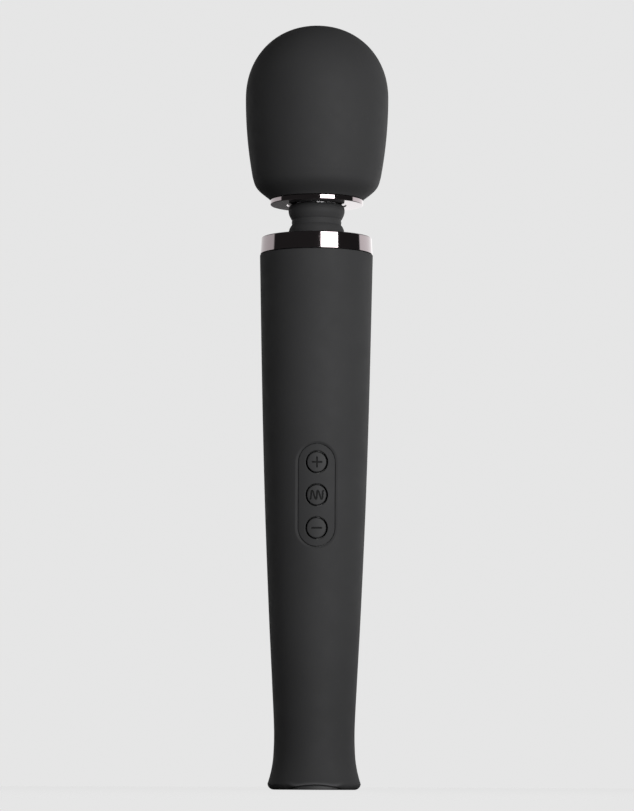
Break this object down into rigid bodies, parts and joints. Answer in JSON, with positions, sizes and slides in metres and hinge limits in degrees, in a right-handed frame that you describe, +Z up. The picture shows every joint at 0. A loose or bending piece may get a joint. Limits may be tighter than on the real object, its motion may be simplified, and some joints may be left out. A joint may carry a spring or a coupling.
{
  "type": "handheld wand massager",
  "caption": "Cordless wand massager: long waisted silicone handle with press keys, chromed collar, ribbed flexible neck and a large soft domed vibrating head.",
  "frame": {"origin": "centre of the flat base of the handle, on the surface that it stands on", "axes": "+Z up along the handle towards the head, -Y towards the controls, +X to the right seen from the controls"},
  "size_m": [0.0628, 0.0628, 0.335],
  "materials": {
    "silicone": "matte",
    "key_rubber": "matte",
    "dark_chrome": "polished",
    "black_plastic": "satin",
    "grey_plastic": "matte",
    "steel": "satin",
    "zinc_steel": "satin",
    "aluminium": "satin",
    "brass": "satin",
    "ferrite": "matte",
    "board": "satin",
    "cell_wrap": "gloss",
    "damping_rubber": "matte",
    "red_wire": "satin",
    "black_wire": "satin"
  },
  "bodies": {
    "handle": {"handle_skin": "silicone", "housing_front": "black_plastic", "housing_rear": "black_plastic", "base_cap": "black_plastic", "collar_ring": "dark_chrome", "control_pad": "silicone", "plus_switch": "black_plastic", "pattern_switch": "black_plastic", "minus_switch": "black_plastic", "circuit_board": "board", "control_chip": "black_plastic", "battery_connector": "grey_plastic", "motor_connector": "grey_plastic", "battery_tray": "grey_plastic", "cell_lower": "cell_wrap", "cell_upper": "cell_wrap", "cell_link_bottom": "steel", "cell_link_top": "steel", "charge_jack": "black_plastic", "jack_pin": "brass", "housing_screw_1": "zinc_steel", "housing_screw_2": "zinc_steel", "housing_screw_3": "zinc_steel", "housing_screw_4": "zinc_steel", "battery_lead_red": "red_wire", "battery_lead_black": "black_wire", "charge_lead_red": "red_wire", "charge_lead_black": "black_wire", "neck_fitting_lower": "aluminium", "neck_sleeve": "silicone", "motor_lead_red": "red_wire", "motor_lead_black": "black_wire"},
    "neck_mid": {"neck_mid_ring": "aluminium", "neck_spring": "steel"},
    "head": {"head_cover": "silicone", "head_shell_front": "black_plastic", "head_shell_rear": "black_plastic", "trim_disc": "dark_chrome", "neck_fitting_upper": "aluminium", "head_screw_1": "zinc_steel", "head_screw_2": "zinc_steel", "head_screw_3": "zinc_steel", "head_screw_4": "zinc_steel", "motor_mount": "damping_rubber", "motor_can": "zinc_steel", "motor_end_cap": "grey_plastic", "motor_terminal_right": "brass", "motor_terminal_left": "brass", "motor_magnet_right": "ferrite", "motor_magnet_left": "ferrite"},
    "rotor": {"motor_shaft": "steel", "motor_armature": "zinc_steel", "eccentric_weight": "steel"},
    "plus_button": {"plus_key": "key_rubber", "plus_plunger": "grey_plastic"},
    "pattern_button": {"pattern_key": "key_rubber", "pattern_plunger": "grey_plastic"},
    "minus_button": {"minus_key": "key_rubber", "minus_plunger": "grey_plastic"}
  },
  "joints": [
    {"name": "neck_nod", "type": "hinge", "parent": "handle", "child": "neck_mid", "pos_m": [0, 0, 0.2484], "axis": [1, 0, 0], "range_deg": [-15, 15], "stiffness_Nm_per_rad": 3.5, "deforming": ["neck_sleeve", "neck_spring", "motor_lead_red", "motor_lead_black"]},
    {"name": "neck_sway", "type": "hinge", "parent": "neck_mid", "child": "head", "pos_m": [0, 0, 0.2484], "axis": [0, 1, 0], "range_deg": [-15, 15], "stiffness_Nm_per_rad": 3.5},
    {"name": "rotor_spin", "type": "hinge", "parent": "head", "child": "rotor", "pos_m": [0, 0, 0.3], "axis": [0, 0, 1], "continuous": true},
    {"name": "plus_press", "type": "slide", "parent": "handle", "child": "plus_button", "axis": [0, 1, 0], "range_m": [0, 0.0006], "stiffness_N_per_m": 1500},
    {"name": "pattern_press", "type": "slide", "parent": "handle", "child": "pattern_button", "axis": [0, 1, 0], "range_m": [0, 0.0006], "stiffness_N_per_m": 1500},
    {"name": "minus_press", "type": "slide", "parent": "handle", "child": "minus_button", "axis": [0, 1, 0], "range_m": [0, 0.0006], "stiffness_N_per_m": 1500}
  ]
}
